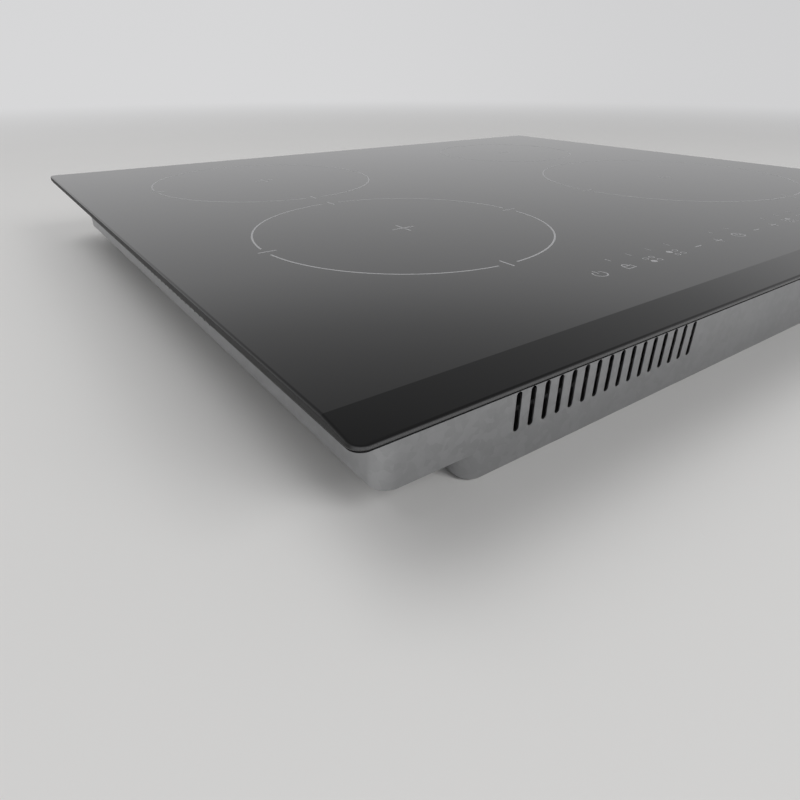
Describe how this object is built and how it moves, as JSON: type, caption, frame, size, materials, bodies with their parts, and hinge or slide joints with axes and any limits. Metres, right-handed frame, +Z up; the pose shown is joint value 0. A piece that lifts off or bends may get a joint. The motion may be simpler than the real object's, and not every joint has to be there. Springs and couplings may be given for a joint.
{
  "type": "electric induction cooktop",
  "caption": "Built-in induction cooktop: a black glass-ceramic plate with a bevelled front over a vented sheet-steel box that holds sprung coils, fans, power boards and touch controls.",
  "frame": {"origin": "middle of the underside of the box, which is also the bottom centre of the bounding box", "axes": "+X to the right and +Y to the rear as the cook sees it, +Z up"},
  "size_m": [0.592, 0.522, 0.0558],
  "materials": {
    "galvanised_sheet": "galvanised sheet",
    "grey_plastic": "satin",
    "inlet_rubber": "matte",
    "carrier_sheet": "rolled",
    "spring_steel": "bright wire",
    "ferrite": "sintered",
    "litz_wire": "copper strands under clear varnish",
    "black_steel": "black satin paint",
    "zinc_steel": "zinc plated",
    "former_plastic": "glass-filled, natural",
    "circuit_board": "solder-masked laminate",
    "black_plastic": "textured",
    "display_lens": "tinted lens",
    "capacitor_case": "moulded case",
    "silicone": "satin silicone",
    "ceramic_glass": "polished black glass-ceramic with a ground edge",
    "extruded_aluminium": "extruded",
    "insulation": "felted fibre",
    "terminal_metal": "plated",
    "chip_plastic": "moulded",
    "sensor_rubber": "silicone",
    "white_plastic": "satin",
    "wire_insulation": "satin sleeve",
    "foam_seal": "matte closed-cell foam"
  },
  "bodies": {
    "base": {"base_pan": "galvanised_sheet", "board_trays": "grey_plastic", "cable_inlet": "inlet_rubber", "carrier_springs_left": "spring_steel", "carrier_springs_right": "spring_steel", "choke_core": "ferrite", "choke_winding": "litz_wire", "clamp_nuts": "zinc_steel", "clamp_screws": "zinc_steel", "coil_leads_left": "litz_wire", "coil_leads_right": "litz_wire", "control_board": "circuit_board", "control_carrier": "black_plastic", "cover_hinge_pin": "zinc_steel", "digit_displays": "display_lens", "fan_housing_left": "black_plastic", "fan_housing_right": "black_plastic", "fan_motors": "black_plastic", "film_capacitors": "capacitor_case", "filter_board": "circuit_board", "glass_bond": "silicone", "glass_plate": "ceramic_glass", "heat_sink_left": "extruded_aluminium", "heat_sink_right": "extruded_aluminium", "lead_terminals": "terminal_metal", "power_boards": "circuit_board", "power_switches": "chip_plastic", "side_screws": "zinc_steel", "spring_posts": "black_plastic", "support_frame": "galvanised_sheet", "terminal_block": "white_plastic", "terminal_box": "grey_plastic", "terminal_contacts": "terminal_metal", "touch_pads": "white_plastic", "wiring_harness": "wire_insulation", "worktop_seal": "foam_seal"},
    "clamp_front_left": {"clamp_front_left": "black_steel"},
    "clamp_front_right": {"clamp_front_right": "black_steel"},
    "clamp_rear_left": {"clamp_rear_left": "black_steel"},
    "clamp_rear_right": {"clamp_rear_right": "black_steel"},
    "carrier_left": {"carrier_plate_left": "carrier_sheet", "coil_former_front_left": "former_plastic", "coil_former_rear_left": "former_plastic", "coil_winding_front_left": "litz_wire", "coil_winding_rear_left": "litz_wire", "ferrite_bars_left": "ferrite", "insulation_mats_left": "insulation", "temperature_sensors_left": "sensor_rubber"},
    "fan_wheel_left": {"fan_rotor_left": "black_plastic"},
    "carrier_right": {"carrier_plate_right": "carrier_sheet", "coil_former_front_right": "former_plastic", "coil_former_rear_right": "former_plastic", "coil_winding_front_right": "litz_wire", "coil_winding_rear_right": "litz_wire", "ferrite_bars_right": "ferrite", "insulation_mats_right": "insulation", "temperature_sensors_right": "sensor_rubber"},
    "fan_wheel_right": {"fan_rotor_right": "black_plastic"},
    "terminal_lid": {"terminal_cover": "grey_plastic"}
  },
  "joints": [
    {"name": "clamp_swivel_front_left", "type": "hinge", "parent": "base", "child": "clamp_front_left", "pos_m": [-0.251, -0.15, 0.006], "axis": [0, 0, 1], "range_deg": [0, 90]},
    {"name": "clamp_swivel_front_right", "type": "hinge", "parent": "base", "child": "clamp_front_right", "pos_m": [0.251, -0.15, 0.006], "axis": [0, 0, 1], "range_deg": [-90, 0]},
    {"name": "clamp_swivel_rear_left", "type": "hinge", "parent": "base", "child": "clamp_rear_left", "pos_m": [-0.251, 0.15, 0.006], "axis": [0, 0, 1], "range_deg": [-90, 0]},
    {"name": "clamp_swivel_rear_right", "type": "hinge", "parent": "base", "child": "clamp_rear_right", "pos_m": [0.251, 0.15, 0.006], "axis": [0, 0, 1], "range_deg": [0, 90]},
    {"name": "carrier_lift_left", "type": "slide", "parent": "base", "child": "carrier_left", "axis": [0, 0, 1], "range_m": [-0.0025, 0], "stiffness_N_per_m": 12000, "springref_m": 0.003, "deforming": ["carrier_springs_left", "coil_leads_left"]},
    {"name": "carrier_lift_right", "type": "slide", "parent": "base", "child": "carrier_right", "axis": [0, 0, 1], "range_m": [-0.0025, 0], "stiffness_N_per_m": 12000, "springref_m": 0.003, "deforming": ["carrier_springs_right", "coil_leads_right"]},
    {"name": "fan_spin_left", "type": "hinge", "parent": "base", "child": "fan_wheel_left", "pos_m": [-0.15, 0.186, 0.015], "axis": [0, 0, 1], "continuous": true},
    {"name": "fan_spin_right", "type": "hinge", "parent": "base", "child": "fan_wheel_right", "pos_m": [0.15, 0.186, 0.015], "axis": [0, 0, 1], "continuous": true},
    {"name": "terminal_lid_hinge", "type": "hinge", "parent": "base", "child": "terminal_lid", "pos_m": [0, 0.1822, 0.004], "axis": [1, 0, 0], "range_deg": [-100, 0]}
  ]
}
